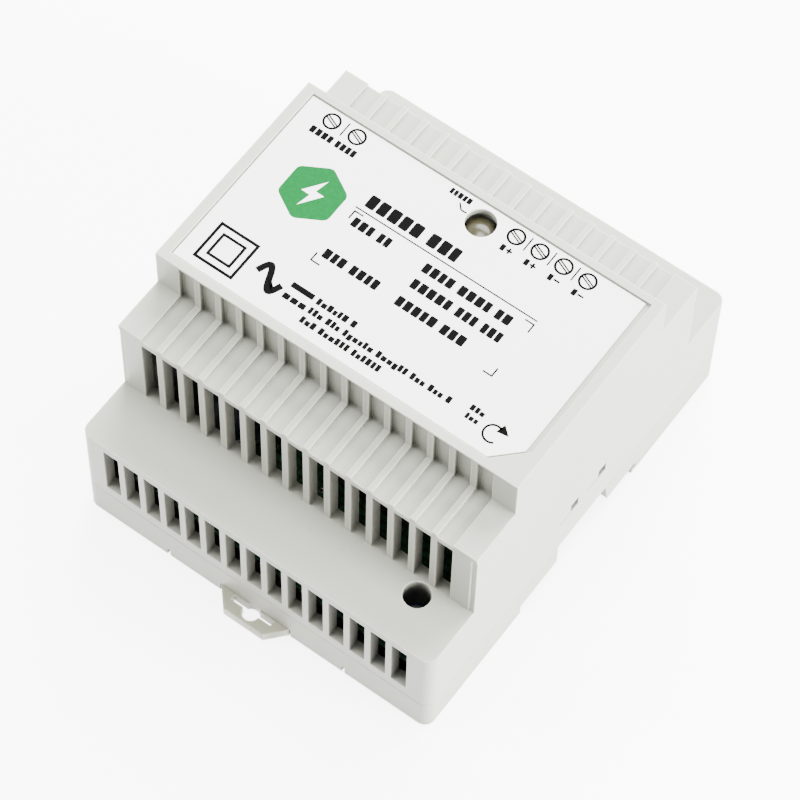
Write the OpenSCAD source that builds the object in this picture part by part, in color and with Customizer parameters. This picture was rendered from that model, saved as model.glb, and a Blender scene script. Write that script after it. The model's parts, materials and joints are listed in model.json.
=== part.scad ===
// DIN rail power supply: stepped snap-together housing, 35 mm rail foot with a sprung clip,
// screw terminals, output trimmer and the switching supply inside.
// Built with X along the rail, Y across it and Z away from it, from the housing's lower left corner.
// place() then moves the origin to the middle of the rail seat.

/* [Housing] */
// Width along the rail
body_w = 78; // [77.5:0.5:80]
// Length across the rail, without the clip tab
body_d = 93; // [92.5:0.5:94]
// Height from the rail side to the top plateau
body_h = 57; // [56.5:0.5:58]
// Length of the top plateau across the rail
plateau_d = 45; // [44.5:0.5:45.5]
// Depth of the upper, ribbed terrace
terrace1_d = 11.3; // [11:0.1:11.5]
// Height of the upper terrace
terrace1_z = 47.4; // [47:0.1:48]
// Height of the lower terrace
terrace2_z = 26.8; // [26.6:0.1:27.2]
// Height of the seam between base and cover
seam_z = 8.5; // [8:0.1:9]
// Thickness of the side walls
side_wall = 2.2; // [2:0.1:2.3]
// Thickness of the slotted walls
vent_wall = 2.6; // [2.4:0.1:2.8]
// Thickness of the terraces and the plateau
top_wall = 2.0; // [1.8:0.1:2]
// Radius of the upright corners
corner_r = 2.2; // [1.5:0.1:2.5]

/* [Vents and ribs] */
// Slots in each row
slot_count = 15; // [13:1:15]
// Distance from slot to slot
slot_pitch = 4.6; // [4.5:0.05:4.65]
// Width of one slot
slot_w = 3.3; // [3:0.1:3.5]
// Depth of the panels between the ribs on the upper terrace
panel_t = 0.7; // [0.5:0.1:0.8]
// Depth of the panels between the ribs on the upper riser
riser_panel_t = 1.1; // [0.8:0.1:1.3]

/* [Rail foot] */
// Depth of the rail recess
seat_z = 2.6; // [2.5:0.1:2.7]
// Width of the rail recess
recess_w = 36; // [35.8:0.1:36.2]
// Distance from the near face to the recess
recess_y = 29; // [28.5:0.1:29.5]
// Reach of the fixed hook under the rail flange
hook_reach = 1.8; // [1.6:0.1:2]
// Width of the clip tab at the housing
tab_w = 15.6; // [15:0.1:16]
// How far the clip tab stands out
tab_out = 3.7; // [3.4:0.1:4]

/* [Terminals] */
// Distance between the two input poles
ac_pitch = 6; // [5.8:0.1:6.2]
// Distance between the four output poles
dc_pitch = 5.08; // [5:0.01:5.1]
// Centre of the input block along the rail
ac_x = 11.2; // [11:0.1:11.4]
// Centre of the output block along the rail
dc_x = 56.42; // [56:0.01:57]
// Radius of the wire entries in the cover
entry_r = 2.0; // [1.8:0.1:2]
// Radius of the screwdriver holes in the cover
driver_r = 1.8; // [1.6:0.1:1.8]

/* [Openings in the top] */
// Radius of the indicator window
led_hole_r = 2.95; // [2.8:0.05:3.1]
// Radius of the trimmer access hole
trim_hole_r = 2.6; // [2.4:0.05:2.65]
// Depth of the label pocket
pocket_t = 0.6; // [0.5:0.1:0.7]

/* [Hidden] */
$fn = 48;
e = 0.01;
rib_lip = 0.5;
terrace2_d = (body_d - plateau_d) / 2 - terrace1_d;
riser2_y = terrace2_d;
riser1_y = terrace2_d + terrace1_d;
slot_x0 = (body_w - (slot_count - 1) * slot_pitch - slot_w) / 2;
recess_far_y = recess_y + recess_w;
rail_y = recess_far_y - 0.2 - 17.5;
led_x = 42.1;
led_y = 63.4;
trim_x = 67.85;
trim_y = 9.85;

// Base plate
floor_t = 2;
floor_top_z = seat_z + floor_t;
seam_gap = 0.12;
lip_t = 1.35;
notch_y = 40.5;
notch_w = 15;
notch_x = 2.2;
notch_back_t = 2.6;
arm_y = [44.7, 53.4];
arm_w = 3;
arm_t = 1.3;
arm_top_z = 20.4;
window_z = 17.4;
window_w = 2.4;
window_h = 2.8;
window_line = 3.6;
window_line_t = 1.3;
channel_w = tab_w + 0.4;
groove_w = tab_w + 3.4;
groove_z = 1.2;
near_wall = 2.4;

// Clip
clip_z0 = 0.1;
clip_z1 = seat_z - 0.15;
nose_z1 = 1.3;
nose_y = 31;
clip_travel = 4.5;
stop_y = 8.5;
stop_t = 1.5;
spring_y0 = stop_y + stop_t;
spring_y1 = 23.5;
clip_slot_w = 3.2;

// Circuit board
pcb_x0 = 4.6;
pcb_x1 = body_w - 4.6;
pcb_y0 = 4.2;
pcb_y1 = 90;
pcb_z = 11;
pcb_t = 1.6;
deck_z = pcb_z + pcb_t;
post_r = 3.2;
post_hole_r = 1.3;
posts = [[9.5, 14], [59.8, 15.5], [9.5, 76], [69, 74]];
pin_r = 0.4;
tab_hole_z = 34.5;

// Parts on the board: places along X and Y, and where their leads pass through it
core_x0 = 37;
core_y0 = 30;
core_y1 = 46;
fuse_cap_x = [[19.8, 24], [32, 36.2]];
thermistor_pins = [[38.6, 85.6], [43.6, 85.6]];
varistor_pins = [[26, 76], [32, 76]];
x_capacitor_pins = [[16.5, 70.4], [31.5, 70.4]];
y_capacitor_y = [47, 53];
y_capacitor_pins = [for (y = y_capacitor_y, x = [31, 36]) [x, y + 1.5]];
bridge_pins = [for (x = [9.5, 13.3, 17.1, 21.5]) [x, 42.1]];
bulk_pins = [[11.75, 28], [19.25, 28]];
bobbin_pins = [for (i = [0 : 4], y = [core_y0 - 2.8, core_y1 + 2.8]) [core_x0 + 4 + i * 3.5, y]];
mosfet_leg_y = [32, 34.5, 37];
diode_leg_y = [33.5, 36, 38.5];
output_capacitor_xy = [[59.5, 55.6], [59.5, 65.2], [69.4, 55.6]];
output_capacitor_pins = [for (p = output_capacitor_xy, s = [-2, 2]) [p[0] + s, p[1]]];
resistor_xy = [[34, 14], [34, 18.5], [46, 14], [46, 18.5], [10, 64]];
resistor_pins = [for (p = resistor_xy, x = [-2, 8.4]) [p[0] + x, p[1]]];

// Terminals, in the block's own heights above the board
screw_y = 86;
block_y0 = 80.2;
block_y1 = 90.2;
block_top_z = 24.6;
wire_z = 15.4;
cage_w = 3.9;
cage_d = 4;
cage_z0 = 13.2;
cage_z1 = 20.4;
cage_wall = 0.5;
nut_t = 1.2;
bar_z0 = 16.4;
bar_z1 = 17.2;
bar_w = 2.6;
head_r = 1.95;
head_z0 = 22.6;
head_z1 = 24.3;
shank_r = 1.5;
running_gap = 0.05;

// ---------------------------------------------------------------- helpers

module place() translate([-body_w / 2, -rail_y, -seat_z]) children();

// A block given by its lowest and highest corners
module block(lo, hi) translate(lo) cube(hi - lo);

// A YZ outline pushed along X
module along_x(x0, x1) translate([x0, 0, 0]) rotate([90, 0, 90]) linear_extrude(x1 - x0) children();

// An upright disc or cylinder
module post(x, y, z0, z1, r) translate([x, y, z0]) cylinder(h = z1 - z0, r = r);

// A round bar along Y or X
module bar_y(x, y0, y1, z, r) translate([x, y0, z]) rotate([-90, 0, 0]) cylinder(h = y1 - y0, r = r);
module bar_x(x0, x1, y, z, r) translate([x0, y, z]) rotate([0, 90, 0]) cylinder(h = x1 - x0, r = r);

// The plan of the housing with round corners, inset by t
module plan(t) {
    r = max(corner_r - t, 0.4);
    translate([t, t + r]) square([body_w - 2 * t, body_d - 2 * t - 2 * r]);
    translate([t + r, t]) square([body_w - 2 * t - 2 * r, body_d - 2 * t]);
    for (x = [t + r, body_w - t - r], y = [t + r, body_d - t - r])
        translate([x, y]) circle(r);
}

// Half of the stepped outline, from the seam up, inset by v on the risers and t on the terraces
function half_steps(v, t) = [
    [v, seam_z - 1], [v, terrace2_z - t], [riser2_y + v, terrace2_z - t],
    [riser2_y + v, terrace1_z - t], [riser1_y + v, terrace1_z - t], [riser1_y + v, body_h - t]];

module steps(v, t) {
    near = half_steps(v, t);
    n = len(near);
    far = [for (i = [0 : n - 1]) [body_d - near[n - 1 - i][0], near[n - 1 - i][1]]];
    polygon(concat(near, far));
}

// Draws its children on the near side and mirrored on the far side
module both_sides() {
    children();
    translate([0, body_d, 0]) mirror([0, 1, 0]) children();
}

function slot_x(i) = slot_x0 + i * slot_pitch;
function pole_x(centre, pitch, count, i) = centre + (i - (count - 1) / 2) * pitch;

// ---------------------------------------------------------------- housing

module vent_slots(y, z0, z1)
    for (i = [0 : slot_count - 1])
        block([slot_x(i), y - 1, z0], [slot_x(i) + slot_w, y + vent_wall + 1, z1]);

// Recessed panels on the upper riser and terrace, between the ribs
module rib_panels()
    for (i = [0 : slot_count - 1]) {
        block([slot_x(i), riser1_y - 1, terrace1_z - panel_t],
              [slot_x(i) + slot_w, riser1_y + riser_panel_t, body_h - rib_lip]);
        block([slot_x(i), riser2_y - 1, terrace1_z - panel_t],
              [slot_x(i) + slot_w, riser1_y, terrace1_z + 1]);
    }

// A rectangle with its near right corner cut off
module cut_rectangle(x0, y0, x1, y1, cut)
    polygon([[x0, y0], [x1 - cut, y0], [x1, y0 + cut], [x1, y1], [x0, y1]]);

// The label pocket, and the label that leaves a gap in it, wider on the right
module pocket_outline() cut_rectangle(2.15, riser1_y + 1.85, body_w - 2.2, body_d - riser1_y - 1.55, 5.4);
module label_outline() cut_rectangle(2.35, riser1_y + 2.05, body_w - 3.2, body_d - riser1_y - 1.85, 4.75);

// Snap windows and the thin joint line that runs to each of them
module snap_windows(x)
    for (y = arm_y) {
        block([x - side_wall - 1, y - window_w / 2, window_z],
              [x + side_wall + 1, y + window_w / 2, window_z + window_h]);
        block([x - window_line_t, y - window_w / 2 - window_line, window_z],
              [x + window_line_t, y, window_z + 0.5]);
    }

// Tube that guides a screwdriver from the trimmer hole down to the trimmer
module trimmer_guide() post(trim_x, trim_y, guide_z, terrace2_z - top_wall + e, trim_hole_r + guide_t);

// Shallow relief along the outer upright edge of the lower slotted riser
module edge_relief()
    for (x = [0, body_w - 1.1])
        block([x - e, riser2_y - 1, terrace2_z], [x + 1.1 + e, riser2_y + 0.25, terrace1_z - 1.2]);

module top_cover() color("gainsboro")
    difference() {
        union() {
            difference() {
                intersection() {
                    along_x(0, body_w) steps(0, 0);
                    translate([0, 0, seam_z]) linear_extrude(body_h) plan(0);
                }
                along_x(side_wall, body_w - side_wall) steps(vent_wall, top_wall);
            }
            trimmer_guide();
        }
        both_sides() {
            vent_slots(riser2_y, terrace2_z, terrace1_z - 1.3 - panel_t);
            rib_panels();
            edge_relief();
        }
        vent_slots(0, 11.2, terrace2_z - 2);
        translate([0, 0, body_h - pocket_t]) linear_extrude(2) pocket_outline();
        post(led_x, led_y, body_h - 4, body_h + 1, led_hole_r);
        post(trim_x, trim_y, guide_z - 1, terrace2_z + 1, trim_hole_r);
        for (x = pole_list()) {
            post(x, screw_y, terrace2_z - 4, terrace2_z + 1, driver_r);
            bar_y(x, body_d - 4, body_d + 1, wire_z, entry_r);
        }
        snap_windows(0);
        snap_windows(body_w);
    }

function pole_list() = concat([for (i = [0 : 1]) pole_x(ac_x, ac_pitch, 2, i)],
                              [for (i = [0 : 3]) pole_x(dc_x, dc_pitch, 4, i)]);

module label() color("white")
    translate([0, 0, body_h - pocket_t])
        linear_extrude(0.3)
            difference() {
                label_outline();
                translate([led_x, led_y]) circle(led_hole_r);
            }

// Snap arm against the inside of a side wall, with a barb in the cover's window
module snap_arm(y) {
    block([side_wall + 0.2, y - arm_w / 2, floor_top_z - e],
          [side_wall + 0.2 + arm_t, y + arm_w / 2, arm_top_z]);
    translate([0, y + window_w / 2 - 0.2, 0]) rotate([90, 0, 0]) linear_extrude(window_w - 0.4)
        polygon([[side_wall - 1.3, window_z + 0.15], [side_wall + 0.3, window_z + 0.15],
                 [side_wall + 0.3, window_z + 2.3]]);
}

module base_outline_cuts() {
    block([-1, recess_y, -1], [body_w + 1, recess_far_y, seat_z]);
    block([-1, recess_far_y - e, lip_t], [body_w + 1, recess_far_y + 1.2, seat_z]);
    for (x = [-1, body_w - notch_x])
        along_x(x, x + notch_x + 1)
            polygon([[notch_y, -1], [notch_y + notch_w + 1.9, -1], [notch_y + notch_w, seam_z + 1],
                     [notch_y, seam_z + 1]]);
    for (x = [19, 59])
        block([x - 0.3, -1, -1], [x + 0.3, 1.2, 2]);
}

// Tunnel that the clip slides in, with a groove on each side that holds it up
module clip_channel() {
    block([body_w / 2 - channel_w / 2, -1, -1], [body_w / 2 + channel_w / 2, recess_y + 1, seat_z]);
    block([body_w / 2 - groove_w / 2, near_wall, groove_z],
          [body_w / 2 + groove_w / 2, recess_y + 1, seat_z]);
}

// Pockets that keep the solid blocks under the floor at an even wall
module base_cores()
    for (x = [[3, 16], [19, 26], [52, 59], [62, 75]]) {
        block([x[0], 3, -1], [x[1], recess_y - 2, seat_z - 0.9]);
        block([x[0], recess_far_y + 3.5, -1], [x[1], body_d - 3, seat_z - 0.9]);
    }

// Fixed hooks that reach under the far flange of the rail
module fixed_hooks()
    for (x = [8, 34, 60])
        along_x(x, x + 10)
            polygon([[recess_far_y + 0.5, 0], [recess_far_y - hook_reach + 0.5, 0],
                     [recess_far_y - hook_reach, 0.5], [recess_far_y - hook_reach, lip_t],
                     [recess_far_y + 0.5, lip_t]]);

module base_plate() color("gainsboro") {
    difference() {
        linear_extrude(seam_z - seam_gap) plan(0);
        translate([0, 0, floor_top_z]) linear_extrude(seam_z) plan(side_wall);
        base_outline_cuts();
        clip_channel();
        base_cores();
    }
    fixed_hooks();
    block([body_w / 2 - 1.2, stop_y, clip_z0 + 0.2], [body_w / 2 + 1.2, stop_y + stop_t, seat_z + e]);
    for (y = arm_y) {
        snap_arm(y);
        translate([body_w, 0, 0]) mirror([1, 0, 0]) snap_arm(y);
    }
    for (x = [notch_x, body_w - notch_x - notch_back_t])
        block([x, notch_y - 1.5, floor_top_z - e],
              [x + notch_back_t, notch_y + notch_w + 2.5, seam_z - seam_gap]);
    difference() {
        for (p = posts) post(p[0], p[1], floor_top_z - e, pcb_z, post_r);
        for (p = posts) post(p[0], p[1], floor_top_z + 1, pcb_z + 1, post_hole_r);
    }
}

module rail_clip() color("lightgray")
    difference() {
        union() {
            translate([body_w / 2, 0, clip_z0])
                linear_extrude(clip_z1 - clip_z0)
                    polygon([[-tab_w / 2, 26], [-tab_w / 2, 0], [-4.5, -tab_out], [4.5, -tab_out],
                             [tab_w / 2, 0], [tab_w / 2, 26]]);
            block([body_w / 2 - groove_w / 2 + 0.2, near_wall + clip_travel + 0.2, groove_z + 0.15],
                  [body_w / 2 + groove_w / 2 - 0.2, 26, clip_z1]);
            along_x(body_w / 2 - tab_w / 2, body_w / 2 + tab_w / 2)
                polygon([[25, clip_z0], [nose_y - 0.4, clip_z0], [nose_y, clip_z0 + 0.5],
                         [nose_y - 0.5, nose_z1], [27.5, nose_z1], [26, clip_z1], [25, clip_z1]]);
        }
        block([body_w / 2 - clip_slot_w / 2, stop_y - 0.3, -1], [body_w / 2 + clip_slot_w / 2, spring_y1, 4]);
        block([body_w / 2 - 4.5, -1.3, -1], [body_w / 2 + 4.5, -0.3, 4]);
        post(body_w / 2, -1.3, -1, 4, 1.7);
    }

module clip_spring() color("silver")
    difference() {
        bar_y(body_w / 2, spring_y0 + 0.05, spring_y1 - 0.05, (clip_z0 + clip_z1) / 2, 1);
        bar_y(body_w / 2, spring_y0 - 1, spring_y1 + 1, (clip_z0 + clip_z1) / 2, 0.65);
    }

// ---------------------------------------------------------------- circuit board

module pcb() color("darkgreen")
    difference() {
        block([pcb_x0, pcb_y0, pcb_z], [pcb_x1, pcb_y1, deck_z]);
        for (p = posts) post(p[0], p[1], pcb_z - 1, deck_z + 1, 1.6);
        for (x = pole_list()) block([x - bar_w / 2, 81.4, pcb_z - 1], [x + bar_w / 2, 82.2, deck_z + 1]);
        for (p = round_pins()) post(p[0], p[1], pcb_z - 1, deck_z + 1, pin_r + 0.1);
        for (f = flat_pins())
            block([f[0] - 0.1, f[1] - 0.1, pcb_z - 1], [f[2] + 0.1, f[3] + 0.1, deck_z + 1]);
    }

// Holes in the board for round leads, and slots for flat ones
function round_pins() = concat(thermistor_pins, varistor_pins, x_capacitor_pins, y_capacitor_pins,
                               bridge_pins, bulk_pins, bobbin_pins, output_capacitor_pins, resistor_pins);
function flat_pins() = concat(clip_feet(), opto_feet(),
                              [for (y = mosfet_leg_y) [31.6, y - 0.4, 32.1, y + 0.4]],
                              [for (y = diode_leg_y) [63.4, y - 0.4, 63.9, y + 0.4]]);

module insulation_sheet() color("ivory")
    difference() {
        block([6.5, 5, floor_top_z], [body_w - 6.5, 88, floor_top_z + 0.3]);
        for (p = posts) post(p[0], p[1], floor_top_z - 1, floor_top_z + 1, post_r + 0.2);
    }

// Pan-head screw with a cross recess, its seat at z
module pan_screw(x, y, z, length, r, head) {
    difference() {
        union() {
            post(x, y, z, z + 1.6, head);
            post(x, y, z - length, z + 0.1, r);
        }
        for (a = [0, 90])
            translate([x, y, z + 1.6]) rotate([0, 0, a]) cube([head * 1.3, 0.6, 1.6], center = true);
    }
}

module pcb_screws() color("silver")
    for (p = posts) pan_screw(p[0], p[1], deck_z, 6, post_hole_r - 0.05, 2.6);

// ---------------------------------------------------------------- terminals

module terminal_block(centre, pitch, count) {
    x0 = pole_x(centre, pitch, count, 0) - pitch / 2 - 0.3;
    x1 = pole_x(centre, pitch, count, count - 1) + pitch / 2 + 0.3;
    difference() {
        block([x0, block_y0, deck_z], [x1, block_y1, block_top_z]);
        block([x0 - 1, block_y0 - 1, 20.5], [x1 + 1, block_y0 + 2.2, block_top_z + 1]);
        for (i = [0 : count - 1]) {
            x = pole_x(centre, pitch, count, i);
            block([x - cage_w / 2 - 0.15, screw_y - cage_d / 2 - 0.15, cage_z0 - 0.1],
                  [x + cage_w / 2 + 0.15, screw_y + cage_d / 2 + 0.15, head_z0 - 0.1]);
            post(x, screw_y, head_z0 - 0.2, block_top_z + 1, head_r + running_gap);
            bar_y(x, screw_y, block_y1 + 1, wire_z, 1.7);
            block([x - bar_w / 2, 81.4, deck_z - 1], [x + bar_w / 2, 82.2, bar_z1]);
            block([x - bar_w / 2, 81.4, bar_z0], [x + bar_w / 2, screw_y + 2.4, bar_z1]);
        }
    }
}

// Contact bars: a foot through the board and a tongue through the clamp cage
module contacts(centre, pitch, count)
    for (i = [0 : count - 1]) {
        x = pole_x(centre, pitch, count, i);
        along_x(x - bar_w / 2, x + bar_w / 2)
            polygon([[81.4, pcb_z - 1.5], [82.2, pcb_z - 1.5], [82.2, bar_z0], [screw_y + 2.4, bar_z0],
                     [screw_y + 2.4, bar_z1], [81.4, bar_z1]]);
    }

module clamp_screw(x) color("silver")
    difference() {
        union() {
            post(x, screw_y, head_z0, head_z1, head_r);
            post(x, screw_y, bar_z1 + 0.05, head_z0 + 0.1, shank_r);
        }
        for (a = [0, 90])
            translate([x, screw_y, head_z1]) rotate([0, 0, a]) cube([2.9, 0.55, 1.8], center = true);
    }

// Rising cage with a tapped top, open along Y for the wire
module clamp_cage(x) color("lightsteelblue")
    difference() {
        block([x - cage_w / 2, screw_y - cage_d / 2, cage_z0],
              [x + cage_w / 2, screw_y + cage_d / 2, cage_z1]);
        block([x - cage_w / 2 + cage_wall, screw_y - 3, cage_z0 + 0.8],
              [x + cage_w / 2 - cage_wall, screw_y + 3, cage_z1 - nut_t]);
        post(x, screw_y, cage_z0 + 2, cage_z1 + 1, shank_r + running_gap);
    }

module ac_screw(i) clamp_screw(pole_x(ac_x, ac_pitch, 2, i));
module dc_screw(i) clamp_screw(pole_x(dc_x, dc_pitch, 4, i));
module ac_cage(i) clamp_cage(pole_x(ac_x, ac_pitch, 2, i));
module dc_cage(i) clamp_cage(pole_x(dc_x, dc_pitch, 4, i));
module ac_terminal_block() color("seagreen") terminal_block(ac_x, ac_pitch, 2);
module dc_terminal_block() color("seagreen") terminal_block(dc_x, dc_pitch, 4);
module ac_contacts() color("goldenrod") contacts(ac_x, ac_pitch, 2);
module dc_contacts() color("goldenrod") contacts(dc_x, dc_pitch, 4);

// ---------------------------------------------------------------- trimmer and indicator

trim_top_z = 17.2;
guide_z = 17.9;
guide_t = 0.9;
rotor_r = 2.2;

module trimmer_body() color("royalblue")
    difference() {
        block([trim_x - 4.7, trim_y - 4.7, deck_z], [trim_x + 4.7, trim_y + 4.7, trim_top_z]);
        post(trim_x, trim_y, trim_top_z - 2, trim_top_z + 1, rotor_r + running_gap);
        post(trim_x, trim_y, trim_top_z - 4.3, trim_top_z + 1, 1 + running_gap);
        for (a = [30 : 60 : 330])
            translate([trim_x, trim_y, trim_top_z]) rotate([0, 0, a]) translate([3.3, 0, 0])
                cube([1, 0.3, 0.4], center = true);
    }

module trimmer_rotor() color("white")
    difference() {
        union() {
            post(trim_x, trim_y, trim_top_z - 1.9, trim_top_z + 0.3, rotor_r);
            post(trim_x, trim_y, trim_top_z - 4.2, trim_top_z - 1.8, 1);
        }
        for (a = [0, 90])
            translate([trim_x, trim_y, trim_top_z + 0.3])
                rotate([0, 0, a]) cube([3.2, 0.7, 1.6], center = true);
    }

board_y = led_y + 1.5;
board_t = 1.2;
led_r = 2.75;
led_dome_r = 6;
led_top_z = body_h - top_wall - 0.1;

// Upright control board behind the indicator
module control_board() color("darkgreen") block([31, board_y, deck_z], [53, board_y + board_t, 47.6]);

// Round indicator with its rim and low dome, and two leads bent back to the board
module led() color("olive") {
    post(led_x, led_y, 48.6, 49.5, 3);
    intersection() {
        post(led_x, led_y, 49.4, body_h, led_r);
        translate([led_x, led_y, led_top_z - led_dome_r]) sphere(led_dome_r);
    }
    for (x = [led_x - 1.5, led_x + 1]) {
        block([x, led_y - 0.25, 45], [x + 0.5, led_y + 0.25, 48.7]);
        block([x, led_y - 0.25, 45], [x + 0.5, board_y, 45.5]);
    }
}

module control_ic() color("dimgray") {
    block([40, board_y - 1.8, 24], [44, board_y - 0.2, 29]);
    for (i = [0 : 3], s = [-1, 1])
        block([42 + s * 2.6 - 0.7, board_y - 0.9, 24.5 + i * 1.27],
              [42 + s * 2.6 + 0.7, board_y, 24.9 + i * 1.27]);
}

module optocoupler() color("dimgray") {
    block([46, 52, deck_z + 0.6], [50.6, 58.4, deck_z + 4]);
    for (f = opto_feet()) block([f[0], f[1], deck_z - 3], [f[2], f[3], deck_z + 2]);
}

function opto_feet() = [for (x = [46.9, 49.44], y = [[51.6, 52.1], [58.3, 58.8]]) [x, y[0], x + 0.5, y[1]]];

// ---------------------------------------------------------------- input side

module leads(points, z1) for (p = points) post(p[0], p[1], pcb_z - 1, z1, pin_r);

function clip_feet() = [for (x = fuse_cap_x, y = [83, 87.7])
                            [(x[0] + x[1]) / 2 - 1, y, (x[0] + x[1]) / 2 + 1, y + 0.3]];

module fuse_tube() color("lightyellow")
    difference() {
        bar_x(21, 35, 85.5, 16.4, 2.28);
        bar_x(20, 36, 85.5, 16.4, 1.8);
    }

// End caps of the fuse, each with two feet
module fuse_caps() color("silver") {
    for (x = fuse_cap_x)
        difference() {
            bar_x(x[0], x[1], 85.5, 16.4, 2.6);
            bar_x(max(x[0], 21), min(x[1], 35), 85.5, 16.4, 2.3);
        }
    for (f = clip_feet()) block([f[0], f[1], deck_z - 2.6], [f[2], f[3], 16]);
}

module thermistor() color("darkslategray") {
    bar_y(41.1, 83.6, 87.6, 18.6, 4.6);
    leads(thermistor_pins, 16);
}

module varistor() color("steelblue") {
    bar_y(29, 74.6, 77.4, 20.2, 6);
    leads(varistor_pins, 16);
}

module x_capacitor() color("goldenrod") {
    block([15, 66.6, deck_z + 0.2], [33, 74.2, deck_z + 14]);
    leads(x_capacitor_pins, deck_z + 1);
}

module y_capacitors() color("deepskyblue") {
    for (y = y_capacitor_y) bar_y(33.5, y, y + 3, 18.4, 4);
    leads(y_capacitor_pins, 16);
}

choke_x = 15.5;
choke_y = 54.5;

module choke_core() color("dimgray")
    translate([choke_x, choke_y, deck_z + 3])
        rotate_extrude() translate([5, 0]) square([4, 8]);

// Two separate windings on opposite halves of the ring
module choke_windings() color("peru")
    for (side = [0, 180], k = [-2 : 2])
        translate([choke_x, choke_y, deck_z + 3])
            rotate([0, 0, side + k * 24])
                difference() {
                    translate([3.9, -0.8, -1.1]) cube([6.2, 1.6, 10.2]);
                    translate([4.9, -2, -0.02]) cube([4.12, 4, 8.04]);
                }

module bridge_rectifier() color("dimgray") {
    block([8, 40.4, deck_z + 2], [23, 43.8, deck_z + 13]);
    leads(bridge_pins, deck_z + 2.5);
}

module bulk_capacitor() color("midnightblue") {
    difference() {
        post(15.5, 28, deck_z + 0.2, 44.2, 9);
        for (a = [0, 60, 120])
            translate([15.5, 28, 44.2]) rotate([0, 0, a]) cube([11, 0.4, 0.5], center = true);
        translate([15.5, 28, deck_z + 2.4])
            rotate_extrude() translate([9.5, 0]) circle(1);
    }
    leads(bulk_pins, deck_z + 1);
}

// ---------------------------------------------------------------- power stage

module heatsink(x, y0, y1, z1, fins) {
    block([x, y0, deck_z], [x + 2, y1, z1]);
    for (y = [y0 : (y1 - y0 - 1.2) / 4 : y1 - 1.2 + e])
        block([x + (fins > 0 ? 2 - e : -3), y, deck_z + 6], [x + (fins > 0 ? 5 : e), y + 1.2, z1 - 1]);
}

module primary_heatsink() color("silver")
    difference() {
        heatsink(27.5, 26, 43, 42, -1);
        bar_x(23, 35, 34.5, tab_hole_z, 1.55);
    }

module mosfet() color("dimgray")
    difference() {
        union() {
            block([29.5, 29.5, 23], [33.9, 39.5, 31.5]);
            block([29.5, 29.5, 31.4], [30.8, 39.5, 38]);
            for (y = mosfet_leg_y) block([31.6, y - 0.4, pcb_z - 1], [32.1, y + 0.4, 23.1]);
        }
        bar_x(28, 35, 34.5, tab_hole_z, 1.75);
    }

module machine_screw(x, y, z, direction)
    translate([x, y, z]) rotate([0, direction * 90, 0])
        difference() {
            union() {
                cylinder(h = 1.6, r = 2.7);
                translate([0, 0, -4.4]) cylinder(h = 4.5, r = 1.5);
            }
            for (a = [0, 90]) translate([0, 0, 1.6]) rotate([0, 0, a]) cube([3.4, 0.6, 1.6], center = true);
        }

module mosfet_screw() color("silver") machine_screw(30.8, 34.5, tab_hole_z, 1);

core_x1 = 59;
core_z0 = 17.5;
core_z1 = 41.5;
leg_t = 4.4;

// Ferrite halves meeting at the middle: outer limbs left and right, round centre limb
module transformer_core() color("dimgray") {
    difference() {
        block([core_x0, core_y0, core_z0], [core_x1, core_y1, core_z1]);
        block([core_x0 + leg_t, core_y0 - 1, core_z0 + leg_t],
              [core_x1 - leg_t, core_y1 + 1, core_z1 - leg_t]);
    }
    post((core_x0 + core_x1) / 2, (core_y0 + core_y1) / 2, core_z0 + leg_t - e, core_z1 - leg_t + e, 3.2);
}

bobbin_x = (core_x0 + core_x1) / 2;
bobbin_y = (core_y0 + core_y1) / 2;
bobbin_z0 = core_z0 + leg_t + 0.1;
bobbin_z1 = core_z1 - leg_t - 0.1;

module transformer_bobbin() color("black") {
    difference() {
        union() {
            for (z = [bobbin_z0, bobbin_z1 - 0.8])
                block([core_x0 + leg_t + 0.1, core_y0 - 3, z], [core_x1 - leg_t - 0.1, core_y1 + 3, z + 0.8]);
            post(bobbin_x, bobbin_y, bobbin_z0, bobbin_z1, 4.1);
        }
        post(bobbin_x, bobbin_y, bobbin_z0 - 1, bobbin_z1 + 1, 3.3);
    }
    for (y = [core_y0 - 4.6, core_y1 + 0.2])
        block([core_x0 + 2, y, deck_z + 1], [core_x1 - 2, y + 4.4, core_z0 + leg_t + 0.15]);
    leads(bobbin_pins, deck_z + 1.5);
}

// Taped winding between the bobbin flanges
module transformer_winding() color("gold")
    difference() {
        post(bobbin_x, bobbin_y, bobbin_z0 + 0.85, bobbin_z1 - 0.85, 6.4);
        post(bobbin_x, bobbin_y, bobbin_z0 - 1, bobbin_z1 + 1, 4.15);
    }

module output_heatsink() color("silver")
    difference() {
        heatsink(66, 26, 46, 42, 1);
        bar_x(60, 72, 36, tab_hole_z, 1.55);
    }

module output_diode() color("dimgray")
    difference() {
        union() {
            block([61.6, 31, 23], [66, 41, 31.5]);
            block([64.7, 31, 31.4], [66, 41, 38]);
            for (y = diode_leg_y) block([63.4, y - 0.4, pcb_z - 1], [63.9, y + 0.4, 23.1]);
        }
        bar_x(60, 67, 36, tab_hole_z, 1.75);
    }

module diode_screw() color("silver") machine_screw(64.7, 36, tab_hole_z, -1);

// ---------------------------------------------------------------- output side

module output_capacitors() color("saddlebrown") {
    for (p = output_capacitor_xy)
        difference() {
            post(p[0], p[1], deck_z + 0.2, 36, 4.6);
            for (a = [0, 90]) translate([p[0], p[1], 36])
                rotate([0, 0, a]) cube([5.6, 0.4, 0.5], center = true);
        }
    leads(output_capacitor_pins, deck_z + 1);
}

choke2_x = 45;
choke2_y = 73.2;

module output_choke_core() color("yellow")
    translate([choke2_x, choke2_y, deck_z + 1.6]) rotate_extrude() translate([3, 0]) square([3, 6.5]);

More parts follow.
